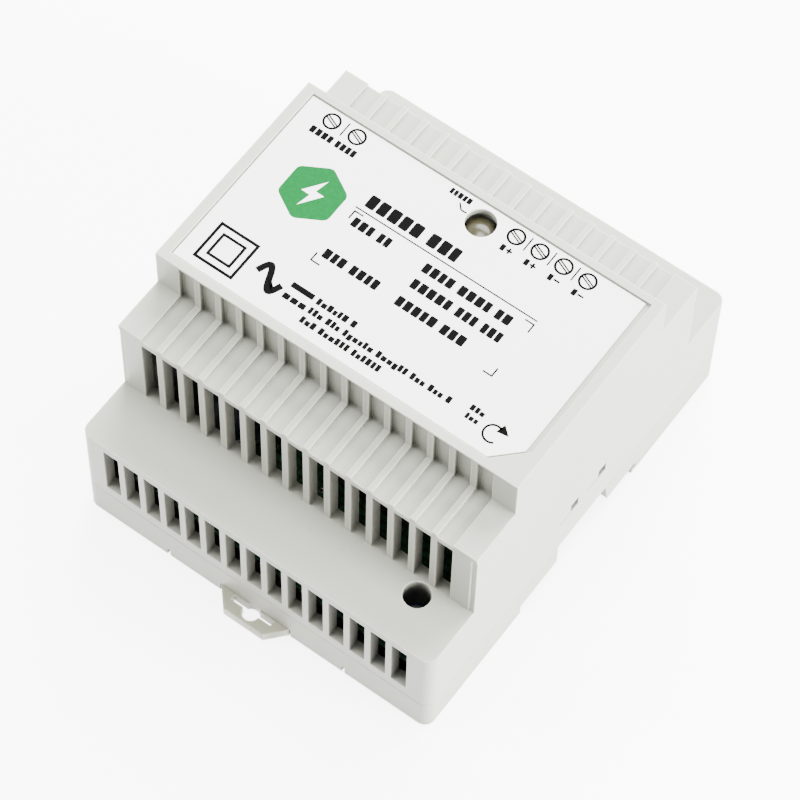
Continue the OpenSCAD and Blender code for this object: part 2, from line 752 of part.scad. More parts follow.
module output_choke_winding() color("peru")
    for (a = [20 : 30 : 350])
        translate([choke2_x, choke2_y, deck_z + 1.6])
            rotate([0, 0, a])
                difference() {
                    translate([2.2, -0.5, -0.7]) cube([4.5, 1, 7.9]);
                    translate([2.93, -2, -0.02]) cube([3.09, 4, 6.54]);
                }

// Axial resistors lying on the board
module resistors() color("tan") {
    for (p = resistor_xy) {
        bar_x(p[0], p[0] + 6.4, p[1], deck_z + 1.4, 1.2);
        bar_x(p[0] - 2, p[0] + 8.4, p[1], deck_z + 1.4, 0.3);
    }
    for (p = resistor_pins) post(p[0], p[1], pcb_z - 1, deck_z + 1.7, 0.3);
}

place() top_cover();
place() base_plate();
place() rail_clip();
place() clip_spring();
place() label();
place() pcb();
place() insulation_sheet();
place() pcb_screws();
place() ac_terminal_block();
place() dc_terminal_block();
place() ac_contacts();
place() dc_contacts();
place() ac_screw(0);  // ac_screw_1
place() ac_screw(1);  // ac_screw_2
place() dc_screw(0);  // dc_screw_1
place() dc_screw(1);  // dc_screw_2
place() dc_screw(2);  // dc_screw_3
place() dc_screw(3);  // dc_screw_4
place() ac_cage(0);  // ac_cage_1
place() ac_cage(1);  // ac_cage_2
place() dc_cage(0);  // dc_cage_1
place() dc_cage(1);  // dc_cage_2
place() dc_cage(2);  // dc_cage_3
place() dc_cage(3);  // dc_cage_4
place() trimmer_body();
place() trimmer_rotor();
place() control_board();
place() led();
place() control_ic();
place() optocoupler();
place() fuse_tube();
place() fuse_caps();
place() thermistor();
place() varistor();
place() x_capacitor();
place() y_capacitors();
place() choke_core();
place() choke_windings();
place() bridge_rectifier();
place() bulk_capacitor();
place() primary_heatsink();
place() mosfet();
place() mosfet_screw();
place() transformer_core();
place() transformer_bobbin();
place() transformer_winding();
place() output_heatsink();
place() output_diode();
place() diode_screw();
place() output_capacitors();
place() output_choke_core();
place() output_choke_winding();
place() resistors();
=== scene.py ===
"""Looks of the DIN rail power supply: materials, printed label, clip spring, light and camera."""
import bpy
import bmesh
import json
import math
import random
from mathutils import Matrix, Vector


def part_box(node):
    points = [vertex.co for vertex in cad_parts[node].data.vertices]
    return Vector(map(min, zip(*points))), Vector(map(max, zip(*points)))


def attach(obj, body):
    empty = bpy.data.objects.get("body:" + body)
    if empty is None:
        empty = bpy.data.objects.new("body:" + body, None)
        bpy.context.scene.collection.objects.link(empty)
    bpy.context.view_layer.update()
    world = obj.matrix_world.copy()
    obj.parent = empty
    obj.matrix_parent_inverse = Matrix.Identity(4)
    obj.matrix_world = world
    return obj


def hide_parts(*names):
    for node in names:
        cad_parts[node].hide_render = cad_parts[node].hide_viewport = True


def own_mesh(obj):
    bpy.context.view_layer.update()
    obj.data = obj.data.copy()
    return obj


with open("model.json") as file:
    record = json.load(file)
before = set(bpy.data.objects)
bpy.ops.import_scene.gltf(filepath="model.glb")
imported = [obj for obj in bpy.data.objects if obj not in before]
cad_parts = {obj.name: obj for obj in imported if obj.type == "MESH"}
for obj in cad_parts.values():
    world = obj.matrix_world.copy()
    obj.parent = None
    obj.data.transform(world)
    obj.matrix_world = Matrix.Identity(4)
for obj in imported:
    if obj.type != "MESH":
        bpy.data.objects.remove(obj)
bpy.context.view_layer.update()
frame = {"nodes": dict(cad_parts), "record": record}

MM = 0.001
nodes = frame["nodes"]
cover_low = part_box("top_cover")[0]
floor_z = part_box("base_plate")[0].z
label_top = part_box("label")[1].z


# ---------------------------------------------------------------- materials

def new_material(name):
    material = bpy.data.materials.new(name)
    material.use_nodes = True
    tree = material.node_tree
    shader = tree.nodes["Principled BSDF"]
    return material, tree, shader


def add(tree, kind, **values):
    """A node of that kind with its attributes and named inputs set."""
    node = tree.nodes.new(kind)
    for key, value in values.items():
        if hasattr(node, key):
            setattr(node, key, value)
        else:
            node.inputs[key].default_value = value
    return node


def object_coordinates(tree, stretch=(1, 1, 1)):
    coordinates = tree.nodes.new("ShaderNodeTexCoord")
    mapping = tree.nodes.new("ShaderNodeMapping")
    mapping.inputs["Scale"].default_value = stretch
    tree.links.new(coordinates.outputs["Object"], mapping.inputs["Vector"])
    return mapping.outputs["Vector"]


def noise(tree, vector, scale, detail=2.0, roughness=0.5):
    node = add(tree, "ShaderNodeTexNoise", Scale=scale, Detail=detail, Roughness=roughness)
    tree.links.new(vector, node.inputs["Vector"])
    return node.outputs["Fac"]


def ramp(tree, factor, stops):
    """Colour ramp with (position, colour) stops."""
    node = tree.nodes.new("ShaderNodeValToRGB")
    elements = node.color_ramp.elements
    for i, (position, colour) in enumerate(stops):
        element = elements[i] if i < 2 else elements.new(position)
        element.position = position
        element.color = (*colour, 1)
    tree.links.new(factor, node.inputs["Fac"])
    return node.outputs["Color"]


def grey(value):
    return (value, value, value)


def tint(colour, factor):
    return tuple(min(1.0, c * factor) for c in colour)


def bump(tree, shader, height, distance, strength=1.0, normal=None):
    node = add(tree, "ShaderNodeBump", Strength=strength, Distance=distance)
    tree.links.new(height, node.inputs["Height"])
    if normal is not None:
        tree.links.new(normal, node.inputs["Normal"])
    tree.links.new(node.outputs["Normal"], shader.inputs["Normal"])
    return node.outputs["Normal"]


def set_roughness(tree, shader, factor, low, high):
    node = add(tree, "ShaderNodeMapRange")
    node.inputs["To Min"].default_value = low
    node.inputs["To Max"].default_value = high
    tree.links.new(factor, node.inputs["Value"])
    tree.links.new(node.outputs["Result"], shader.inputs["Roughness"])


def mix_colour(tree, factor, a, b, blend="MIX"):
    node = tree.nodes.new("ShaderNodeMix")
    node.data_type = "RGBA"
    node.blend_type = blend
    for source, socket in ((factor, node.inputs[0]), (a, node.inputs[6]), (b, node.inputs[7])):
        if isinstance(source, bpy.types.NodeSocket):
            tree.links.new(source, socket)
        elif isinstance(source, tuple):
            socket.default_value = (*source, 1)
        else:
            socket.default_value = source
    return node.outputs[2]


def rounded_normal(tree, radius):
    """Shading normal of edges rounded to that radius."""
    soft = add(tree, "ShaderNodeBevel", Radius=radius)
    soft.samples = 4
    return soft.outputs["Normal"]


def edge_mask(tree, radius):
    """1 near an outer or inner edge, 0 on a flat face."""
    flat = tree.nodes.new("ShaderNodeNewGeometry")
    dot = add(tree, "ShaderNodeVectorMath", operation="DOT_PRODUCT")
    tree.links.new(rounded_normal(tree, radius), dot.inputs[0])
    tree.links.new(flat.outputs["True Normal"], dot.inputs[1])
    spread = add(tree, "ShaderNodeMapRange")
    spread.inputs["From Min"].default_value = 1.0
    spread.inputs["From Max"].default_value = 0.86
    tree.links.new(dot.outputs["Value"], spread.inputs["Value"])
    return spread.outputs["Result"]


def openness(tree, distance, closed, open_at):
    """0 where a surface is enclosed within the distance, 1 where it is open."""
    occlusion = add(tree, "ShaderNodeAmbientOcclusion", Distance=distance)
    occlusion.samples = 6
    spread = add(tree, "ShaderNodeMapRange")
    spread.inputs["From Min"].default_value = closed
    spread.inputs["From Max"].default_value = open_at
    tree.links.new(occlusion.outputs["AO"], spread.inputs["Value"])
    return spread.outputs["Result"]


# Reach and colour of the painted shade deep inside the housing
INSIDE_SHADE_REACH = 22 * MM
PAINTED_INSIDE_SHADE = grey(0.006)


def paint_inside_shade(material):
    """Painted shade: surfaces deep inside the housing fade to near black."""
    tree = material.node_tree
    socket = tree.nodes["Principled BSDF"].inputs["Base Color"]
    base = socket.links[0].from_socket
    inside = openness(tree, INSIDE_SHADE_REACH, closed=0.14, open_at=0.36)
    tree.links.new(mix_colour(tree, inside, PAINTED_INSIDE_SHADE, base), socket)


def product(tree, a, b):
    node = add(tree, "ShaderNodeMath", operation="MULTIPLY")
    tree.links.new(a, node.inputs[0])
    tree.links.new(b, node.inputs[1])
    return node.outputs["Value"]


# Band and reach of the painted edge highlight, and reach of the painted shade in corners
HIGHLIGHT_BAND = 0.5 * MM
HIGHLIGHT_REACH = 1.5 * MM
CORNER_SHADE_REACH = 3.5 * MM
EDGE_ROUNDING = 0.25 * MM


def spark_texture(tree, vector, colour, speck_shade):
    """Colour of moulded plastic: a faint cloudy tone with a few darker specks."""
    cloud = noise(tree, vector, 45, 3)
    base = ramp(tree, cloud, [(0.3, tint(colour, 0.975)), (0.7, tint(colour, 1.02))])
    specks = noise(tree, vector, 900, 1)
    speck_mask = ramp(tree, specks, [(0.77, grey(0)), (0.8, grey(1))])
    return mix_colour(tree, speck_mask, base, tint(colour, speck_shade))


def housing_plastic(name, colour, highlight_colour):
    """Housing plastic: fine spark texture, a painted highlight on outer edges and painted shade in
    corners.
    """
    material, tree, shader = new_material(name)
    vector = object_coordinates(tree)
    base = spark_texture(tree, vector, colour, 0.8)
    # Painted highlight: outer edges take the highlight colour
    highlight_mask = openness(tree, HIGHLIGHT_REACH, closed=0.75, open_at=0.95)
    highlight_mask = product(tree, edge_mask(tree, HIGHLIGHT_BAND), highlight_mask)
    base = mix_colour(tree, highlight_mask, base, highlight_colour)
    # Painted shade: enclosed corners darken to 0.74 of the colour
    corners = openness(tree, CORNER_SHADE_REACH, closed=0.15, open_at=0.85)
    base = mix_colour(tree, corners, tint(colour, 0.74), base)
    tree.links.new(base, shader.inputs["Base Color"])
    fine = noise(tree, vector, 2600, 2, 0.6)
    set_roughness(tree, shader, fine, 0.42, 0.56)
    bump(tree, shader, fine, 0.03 * MM, 0.35, normal=rounded_normal(tree, EDGE_ROUNDING))
    shader.inputs["IOR"].default_value = 1.5
    return material


def moulded(name, colour, roughness=0.5, grain=0.03, edge=1.06, highlight_colour=None):
    """Moulded plastic of the smaller parts: fine spark texture and a painted highlight along the edges."""
    material, tree, shader = new_material(name)
    vector = object_coordinates(tree)
    base = spark_texture(tree, vector, colour, 0.72)
    # Painted highlight: edges take the highlight colour, or the colour lightened by the edge factor
    painted_highlight = highlight_colour or tint(colour, edge)
    base = mix_colour(tree, edge_mask(tree, 0.45 * MM), base, painted_highlight)
    tree.links.new(base, shader.inputs["Base Color"])
    fine = noise(tree, vector, 2600, 2, 0.6)
    set_roughness(tree, shader, fine, roughness - 0.06, roughness + 0.08)
    bump(tree, shader, fine, grain * MM, 0.35)
    shader.inputs["IOR"].default_value = 1.5
    shader.inputs["Subsurface Weight"].default_value = 0.04
    shader.inputs["Subsurface Radius"].default_value = (0.6 * MM, 0.55 * MM, 0.45 * MM)
    shader.inputs["Subsurface Scale"].default_value = 1.0
    return material


def glossy(name, colour, roughness=0.25, coat=0.3, streak=(1, 1, 1), scale=300, spread=0.12):
    """Lacquered or sleeved surface with soft waviness."""
    material, tree, shader = new_material(name)
    vector = object_coordinates(tree, streak)
    wave = noise(tree, vector, scale, 3)
    base = ramp(tree, wave, [(0.3, tint(colour, 1 - spread)), (0.7, tint(colour, 1 + spread))])
    tree.links.new(base, shader.inputs["Base Color"])
    set_roughness(tree, shader, wave, roughness - 0.05, roughness + 0.1)
    bump(tree, shader, wave, 0.05 * MM, 0.3)
    shader.inputs["Coat Weight"].default_value = coat
    shader.inputs["Coat Roughness"].default_value = 0.15
    return material


def metal(name, colour, roughness=0.3, streak=(1, 1, 20), scale=400, edge=1.15):
    """Drawn or rolled metal with fine lines and a painted highlight along the edges."""
    material, tree, shader = new_material(name)
    vector = object_coordinates(tree, streak)
    lines = noise(tree, vector, scale, 4, 0.6)
    base = ramp(tree, lines, [(0.25, tint(colour, 0.82)), (0.75, tint(colour, 1.08))])
    # Painted highlight: edges lightened by the edge factor
    base = mix_colour(tree, edge_mask(tree, 0.25 * MM), base, tint(colour, edge))
    tree.links.new(base, shader.inputs["Base Color"])
    shader.inputs["Metallic"].default_value = 1.0
    set_roughness(tree, shader, lines, roughness - 0.08, roughness + 0.14)
    bump(tree, shader, lines, 0.03 * MM, 0.25)
    return material


def printed_circuit(name):
    """Solder mask over copper tracks, with round solder lands."""
    material, tree, shader = new_material(name)
    vector = object_coordinates(tree)
    tracks = add(tree, "ShaderNodeTexBrick", Scale=160.0)
    tracks.offset = 0.37
    tracks.inputs["Color1"].default_value = (0.016, 0.11, 0.045, 1)
    tracks.inputs["Color2"].default_value = (0.012, 0.085, 0.035, 1)
    tracks.inputs["Mortar"].default_value = (0.008, 0.05, 0.022, 1)
    tracks.inputs["Mortar Size"].default_value = 0.035
    tree.links.new(vector, tracks.inputs["Vector"])
    lands = add(tree, "ShaderNodeTexVoronoi", Scale=330.0, Randomness=0.75)
    tree.links.new(vector, lands.inputs["Vector"])
    land_mask = ramp(tree, lands.outputs["Distance"], [(0.16, grey(1)), (0.19, grey(0))])
    base = mix_colour(tree, land_mask, tracks.outputs["Color"], (0.55, 0.55, 0.52))
    tree.links.new(base, shader.inputs["Base Color"])
    set_roughness(tree, shader, land_mask, 0.42, 0.25)
    tree.links.new(land_mask, shader.inputs["Metallic"])
    bump(tree, shader, land_mask, 0.08 * MM, 0.6)
    shader.inputs["Coat Weight"].default_value = 0.25
    return material


def ferrite(name, colour):
    material, tree, shader = new_material(name)
    vector = object_coordinates(tree)
    grain = noise(tree, vector, 1800, 3, 0.7)
    base = ramp(tree, grain, [(0.35, tint(colour, 0.6)), (0.65, tint(colour, 1.5))])
    tree.links.new(base, shader.inputs["Base Color"])
    set_roughness(tree, shader, grain, 0.5, 0.75)
    bump(tree, shader, grain, 0.04 * MM, 0.5)
    return material


def enamelled_copper(name):
    """Copper turns: fine rings wound side by side."""
    material, tree, shader = new_material(name)
    vector = object_coordinates(tree)
    turns = add(tree, "ShaderNodeTexWave", Scale=420.0, Distortion=0.6, wave_profile="SIN")
    turns.bands_direction = "Z"
    tree.links.new(vector, turns.inputs["Vector"])
    base = ramp(tree, turns.outputs["Fac"], [(0.1, (0.20, 0.05, 0.015)), (0.8, (0.75, 0.30, 0.10))])
    tree.links.new(base, shader.inputs["Base Color"])
    shader.inputs["Metallic"].default_value = 0.75
    set_roughness(tree, shader, turns.outputs["Fac"], 0.35, 0.2)
    bump(tree, shader, turns.outputs["Fac"], 0.2 * MM, 0.6)
    shader.inputs["Coat Weight"].default_value = 0.6
    return material


def film(name, colour):
    """Semi-gloss printed label film, very slightly wavy."""
    material, tree, shader = new_material(name)
    vector = object_coordinates(tree)
    sway = noise(tree, vector, 30, 2)
    fine = noise(tree, vector, 3500, 2)
    base = ramp(tree, sway, [(0.35, tint(colour, 0.985)), (0.65, colour)])
    tree.links.new(base, shader.inputs["Base Color"])
    set_roughness(tree, shader, fine, 0.3, 0.42)
    first = bump(tree, shader, sway, 0.25 * MM, 0.15)
    bump(tree, shader, fine, 0.01 * MM, 0.25, normal=first)
    shader.inputs["IOR"].default_value = 1.48
    return material


def ink(name, colour):
    """Printing ink: slightly uneven, matt cover."""
    material, tree, shader = new_material(name)
    vector = object_coordinates(tree)
    cover = noise(tree, vector, 1500, 3, 0.65)
    base = ramp(tree, cover, [(0.3, tint(colour, 0.85)), (0.75, tint(colour, 1.12))])
    tree.links.new(base, shader.inputs["Base Color"])
    set_roughness(tree, shader, cover, 0.55, 0.7)
    bump(tree, shader, cover, 0.01 * MM, 0.3)
    shader.inputs["Specular IOR Level"].default_value = 0.03
    return material


def clear(name, colour, roughness=0.05, transmission=0.9):
    material, tree, shader = new_material(name)
    vector = object_coordinates(tree)
    swirl = noise(tree, vector, 500, 2)
    base = ramp(tree, swirl, [(0.3, tint(colour, 0.9)), (0.7, colour)])
    tree.links.new(base, shader.inputs["Base Color"])
    set_roughness(tree, shader, swirl, roughness, roughness + 0.08)
    shader.inputs["Transmission Weight"].default_value = transmission
    shader.inputs["IOR"].default_value = 1.5
    return material


# The second colour of each housing material and of the clip, and the factor after roughness and grain of a
# moulded material, set its painted edge highlight
MATERIALS = {
    "housing_grey": lambda: housing_plastic("housing_grey", (0.42, 0.425, 0.37), (0.70, 0.68, 0.53)),
    "base_grey": lambda: housing_plastic("base_grey", (0.405, 0.405, 0.34), (0.66, 0.64, 0.49)),
    "clip_grey": lambda: moulded("clip_grey", (0.29, 0.29, 0.215), 0.38, highlight_colour=(0.55, 0.54, 0.40)),
    "spring_steel": lambda: metal("spring_steel", (0.55, 0.56, 0.58), 0.28, (1, 1, 1), 900),
    "label_white": lambda: film("label_white", (0.94, 0.95, 0.93)),
    "board_green": lambda: printed_circuit("board_green"),
    "sheet_fibre": lambda: moulded("sheet_fibre", (0.62, 0.60, 0.46), 0.7, 0.08, 1.1),
    "terminal_green": lambda: moulded("terminal_green", (0.02, 0.17, 0.05), 0.42, 0.03, 1.6),
    "plated_steel": lambda: metal("plated_steel", (0.62, 0.62, 0.60), 0.26, (1, 1, 1), 700),
    "cage_steel": lambda: metal("cage_steel", (0.50, 0.51, 0.53), 0.34, (1, 1, 12), 500),
    "brass_contact": lambda: metal("brass_contact", (0.66, 0.55, 0.32), 0.3, (1, 8, 1), 500),
    "trimmer_blue": lambda: moulded("trimmer_blue", (0.02, 0.09, 0.32), 0.4, 0.03, 1.5),
    "rotor_white": lambda: moulded("rotor_white", (0.68, 0.66, 0.58), 0.42),
    "led_lens": lambda: clear("led_lens", (0.075, 0.068, 0.035), 0.16, 0.15),
    "chip_black": lambda: moulded("chip_black", (0.018, 0.018, 0.02), 0.5, 0.04, 2.2),
    "fuse_glass": lambda: clear("fuse_glass", (0.9, 0.93, 0.91), 0.03, 0.95),
    "thermistor_green": lambda: glossy("thermistor_green", (0.02, 0.07, 0.04), 0.35, 0.4),
    "varistor_blue": lambda: glossy("varistor_blue", (0.02, 0.10, 0.38), 0.3, 0.5),
    "xcap_yellow": lambda: glossy("xcap_yellow", (0.66, 0.42, 0.03), 0.3, 0.3, (1, 1, 1), 120, 0.06),
    "ycap_blue": lambda: glossy("ycap_blue", (0.03, 0.20, 0.48), 0.3, 0.5),
    "ferrite": lambda: ferrite("ferrite", (0.05, 0.05, 0.053)),
    "enamel_copper": lambda: enamelled_copper("enamel_copper"),
    "capacitor_black": lambda: glossy("capacitor_black", (0.016, 0.018, 0.032), 0.22, 0.4, (1, 1, 0.2)),
    "heatsink_aluminium": lambda: metal("heatsink_aluminium", (0.66, 0.67, 0.68), 0.36, (1, 1, 25), 350),
    "bobbin_black": lambda: moulded("bobbin_black", (0.02, 0.02, 0.021), 0.45, 0.03, 2.0),
    "winding_tape": lambda: glossy("winding_tape", (0.72, 0.50, 0.03), 0.2, 0.5, (0.3, 0.3, 6), 160, 0.15),
    "capacitor_brown": lambda: glossy("capacitor_brown", (0.06, 0.025, 0.012), 0.22, 0.4, (1, 1, 0.2)),
    "choke_yellow": lambda: moulded("choke_yellow", (0.62, 0.50, 0.04), 0.55, 0.05),
    "resistor_tan": lambda: glossy("resistor_tan", (0.52, 0.36, 0.19), 0.4, 0.2),
}


OUTSIDE_SLOTS = ("label_white", "clip_grey")


def finish_cad_nodes():
    """Every carried-over CAD node gets the material of its slot."""
    made = {slot: make() for slot, make in MATERIALS.items()}
    # Each material except the outside slots gets painted shade where it lies deep inside the housing
    for slot, material in made.items():
        if slot not in OUTSIDE_SLOTS:
            paint_inside_shade(material)
    for part in frame["record"]["subparts"]:
        mesh = nodes[part["node"]].data
        mesh.materials.clear()
        mesh.materials.append(made[part["material_slot"]])
    return made


FLAT_ANGLE = math.radians(1)
SHARP_ANGLE = math.radians(50)
# Millimetres, each small enough for the narrowest strip of its node
EDGE_RADII = {"top_cover": 0.12, "base_plate": 0.09, "rail_clip": 0.15, "ac_terminal_block": 0.03,
              "dc_terminal_block": 0.03, "trimmer_body": 0.12}


def round_edges(name, width):
    """Small radii on the sharp edges of a CAD node."""
    obj = nodes[name]
    weld = obj.modifiers.new("join", "WELD")
    weld.merge_threshold = 0.001 * MM
    flatten = obj.modifiers.new("flatten", "DECIMATE")
    flatten.decimate_type = "DISSOLVE"
    flatten.angle_limit = FLAT_ANGLE
    bevel = obj.modifiers.new("edges", "BEVEL")
    bevel.width = width
    bevel.segments = 3
    bevel.limit_method = "ANGLE"
    bevel.angle_limit = SHARP_ANGLE
    bevel.use_clamp_overlap = False
    bevel.loop_slide = False
    bevel.miter_outer = "MITER_SHARP"
    for polygon in obj.data.polygons:
        polygon.use_smooth = True
    smooth = obj.modifiers.new("shade", "WEIGHTED_NORMAL")
    smooth.keep_sharp = True
    smooth.weight = 90


materials = finish_cad_nodes()
for node_name, radius in EDGE_RADII.items():
    round_edges(node_name, radius * MM)


# ---------------------------------------------------------------- label artwork

PRINT_T = 0.012 * MM
PRINT_GAP = 0.004 * MM

# Widths of the printed strokes and heights of the printed rows, in millimetres
HAIRLINE = 0.3
THIN = 0.32
HEADING = 2.9
RATING = 2.1
VALUE = 2.15
CAPTION = 1.55
ADVICE = 1.45
NOTE = 1.25


class Print:
    """Flat closed shapes printed on the label, in housing millimetres from the cover's low corner."""

    def __init__(self, name, material):
        self.bm = bmesh.new()
        self.name = name
        self.material = material
        self.z = label_top + PRINT_GAP

    def point(self, p):
        return Vector((cover_low.x + p[0] * MM, cover_low.y + p[1] * MM, self.z))

    def prism(self, outline):
        """A thin closed prism over a counter-clockwise outline."""
        low = [self.bm.verts.new(self.point(p)) for p in outline]
        top = [self.bm.verts.new(self.point(p) + Vector((0, 0, PRINT_T))) for p in outline]
        self.bm.faces.new(list(reversed(low)))
        self.bm.faces.new(top)
        n = len(outline)
        for i in range(n):
            j = (i + 1) % n
            self.bm.faces.new([low[i], low[j], top[j], top[i]])

    def strip(self, outer, inner):
        """A thin closed band between two loops with the same number of points."""
        n = len(outer)
        up = Vector((0, 0, PRINT_T))
        rows = [[self.bm.verts.new(self.point(p) + lift) for p in loop]
                for loop, lift in ((outer, Vector()), (outer, up), (inner, up), (inner, Vector()))]
        for i in range(n):
            j = (i + 1) % n
            for a, b in ((0, 1), (1, 2), (2, 3), (3, 0)):
                self.bm.faces.new([rows[a][i], rows[a][j], rows[b][j], rows[b][i]])

    def line(self, points, width):
        """An open line with square ends, mitred at its corners."""
        left, right = [], []
        for i, p in enumerate(points):
            here = Vector(p)
            before = (here - Vector(points[i - 1])).normalized() if i else None
            after = (Vector(points[i + 1]) - here).normalized() if i + 1 < len(points) else None
            direction = ((before or after) + (after or before)).normalized()
            side = Vector((-direction.y, direction.x))
            edge = after or before
            reach = width / 2 / max(0.3, abs(side.dot(Vector((-edge.y, edge.x)))))
            left.append(here + side * reach)
            right.append(here - side * reach)
        self.prism(right + left[::-1])

    def ring(self, x, y, r, width, steps=48, start=0, sweep=360):
        """A ring, or an arc of one when the sweep is under a full turn."""
        angles = [math.radians(start + sweep * i / steps) for i in range(steps + (sweep < 360))]
        outer, inner = ([(x + radius * math.cos(a), y + radius * math.sin(a)) for a in angles]
                        for radius in (r + width / 2, r - width / 2))
        if sweep >= 360:
            self.strip(outer, inner)
        else:
            self.prism(outer + inner[::-1])

    def bar(self, x0, y0, x1, y1):
        """A bar with small cut corners."""
        c = min(x1 - x0, y1 - y0) * 0.12
        self.prism([(x0 + c, y0), (x1 - c, y0), (x1, y0 + c), (x1, y1 - c),
                    (x1 - c, y1), (x0 + c, y1), (x0, y1 - c), (x0, y0 + c)])

    def words(self, x0, x1, y, height, seed, capitals=False):
        """A row of blank words: groups of small blocks with gaps between the groups."""
        rng = random.Random(seed)
        x = x0
        while x < x1 - height * 0.6:
            for k in range(rng.choice((3, 4, 5, 6))):
                w = height * rng.uniform(0.5, 0.72)
                if x + w > x1:
                    break
                tall = capitals or k == 0 or rng.random() < 0.3
                low = y - (0.2 * height if not tall and rng.random() < 0.15 else 0)
                self.bar(x, low, x + w, y + height * (1 if tall else 0.72))
                x += w + height * 0.15
            x += height * 0.42

    def sign(self, x, y, size, plus):
        """A plus or a minus sign."""
        half = size * 0.16
        self.bar(x - size / 2, y - half, x + size / 2, y + half)
        if plus:
            for end in (-1, 1):
                low, high = sorted((end * half, end * size / 2))
                self.bar(x - half, y + low, x + half, y + high)

    def finish(self):
        bmesh.ops.recalc_face_normals(self.bm, faces=self.bm.faces)
        mesh = bpy.data.meshes.new(self.name)
        self.bm.to_mesh(mesh)
        self.bm.free()
        mesh.materials.append(self.material)
        piece = bpy.data.objects.new(self.name, mesh)
        bpy.context.scene.collection.objects.link(piece)
        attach(piece, "housing")
        return piece


def towards(angle):
    return Vector((math.cos(angle), math.sin(angle)))


def screw_symbol(art, x, y):
    """Ring with a slanted double stroke: a screw head."""
    reach, spacing = 1.4, 0.48
    art.ring(x, y, 1.55, 0.46)
    along = towards(math.radians(157))
    across = Vector((-along.y, along.x))
    for shift in (-spacing / 2, spacing / 2):
        centre = Vector((x, y)) + across * shift
        art.line([centre - along * reach, centre + along * reach], HAIRLINE)


def terminal_row(art):
    """Screw symbols with dividers along the far edge, and words or signs below them."""
    row_y, sign_y, divider = 64.8, 61.6, 1.6
    input_x = (8.3, 13.9)
    output_x = (48.8, 53.9, 59.0, 64.1)
    for x in input_x + output_x:
        screw_symbol(art, x, row_y)
    for x in [11.2] + [(a + b) / 2 for a, b in zip(output_x, output_x[1:])]:
        art.line([(x, row_y - divider), (x, row_y + divider)], HAIRLINE)
    for i, x in enumerate(input_x):
        art.words(x - 2.3, x + 2.6, 60.7, CAPTION, 11 + i, capitals=True)
    for i, x in enumerate(output_x):
        art.bar(x - 1.15, sign_y - 0.7, x - 0.25, sign_y + 0.7)
        art.sign(x + 0.65, sign_y, 1.25, plus=i < 2)


def square(low, high, rise):
    """Corners of a square from low to high along X, that much further along Y."""
    return [(low, low + rise), (high, low + rise), (high, high + rise), (low, high + rise)]


def nested_squares(art):
    """Two square frames, one inside the other."""
    rise = 22.45
    for low, high, width in ((5.3, 13.9, 0.62), (6.95, 12.25, 0.58)):
        art.strip(square(low, high, rise), square(low + width, high - width, rise))


def current_signs(art):
    """A wave, and one long stroke above three short ones."""
    steps, length, swing = 32, 5.4, 2.3
    turns = [t / steps for t in range(steps + 1)]
    art.line([(16.3 + length * t, 32.1 + swing * math.sin(2 * math.pi * t)) for t in turns], 1.25)
    left, dash, pitch = 22.9, 1.4, 1.7
    art.bar(left, 32.9, left + 2 * pitch + dash, 34.1)
    for k in range(3):
        art.bar(left + k * pitch, 30.3, left + k * pitch + dash, 31.5)


def corner_mark(art, x, y, reach_x, reach_y):
    """A right angle with its corner at x, y."""
    art.line([(x, y + reach_y), (x, y), (x + reach_x, y)], THIN)


def heading_and_ratings(art):
    """Heading over a long rule, and the rating rows between four corner marks."""
    art.words(23.4, 44.9, 53.9, HEADING, 5, capitals=True)
    art.line([(22.3, 52.9), (61.7, 52.9)], HAIRLINE)
    reach = 1.9
    corner_mark(art, 22.8, 52.1, reach, -reach)
    corner_mark(art, 22.6, 39.4, reach, reach)
    corner_mark(art, 61.6, 52.0, -reach, -reach)
    corner_mark(art, 61.6, 39.3, -reach, reach)
    art.words(23.7, 33.3, 49.2, RATING, 31, capitals=True)
    art.words(23.5, 36.6, 41.0, RATING, 32, capitals=True)
    art.words(39.3, 58.2, 49.0, VALUE, 33, capitals=True)
    art.words(39.5, 60.1, 45.2, VALUE, 34, capitals=True)
    art.words(39.4, 56.4, 40.8, VALUE, 35, capitals=True)


def advice_rows(art):
    art.words(28.5, 37.0, 32.7, ADVICE, 41)
    art.words(28.4, 59.5, 30.4, ADVICE, 42)
    art.words(28.3, 45.9, 28.1, ADVICE, 43)


def trimmer_note(art):
    """Two short rows and a turn arrow beside the trimmer's corner."""
    art.words(62.2, 65.6, 31.7, NOTE, 51)
    art.words(62.4, 65.2, 29.9, NOTE, 52)
    art.ring(68.3, 30.2, 1.75, 0.42, steps=36, start=60, sweep=250)
    art.prism([(68.5, 30.9), (70.9, 31.3), (69.1, 32.9)])


def window_note(art):
    """One short row and a bent line that points at the indicator window."""
    art.words(33.8, 38.8, 65.2, NOTE, 61, capitals=True)
    art.line([(36.7, 64.6), (37.7, 63.5), (38.9, 63.5)], THIN)


def black_print():
    art = Print("label_print_black", ink("ink_black", grey(0.0015)))
    for draw in (terminal_row, nested_squares, current_signs, heading_and_ratings, advice_rows,
                 trimmer_note, window_note):
        draw(art)
    return art.finish()


def green_print():
    """Plain green badge: a six-sided plate with rounded corners and a bolt-shaped gap."""
    art = Print("label_print_green", ink("ink_green", (0.0, 0.115, 0.024)))
    centre = Vector((14.6, 50.6))
    radius, corner, steps = 6.1, 1.5, 6
    outline = []
    for k in range(6):
        middle = math.radians(60 * k + 30)
        hub = centre + towards(middle) * (radius - corner)
        for i in range(steps + 1):
            outline.append(hub + towards(middle + math.radians(-30 + 60 * i / steps)) * corner)
    bolt = [(0.9, 3.6), (-2.1, -0.6), (-0.25, -0.6), (-0.9, -3.6), (2.1, 0.6), (0.25, 0.6)]
    gap = [centre + Vector(p) for p in bolt]
    art_outline(art, outline, gap)
    return art.finish()


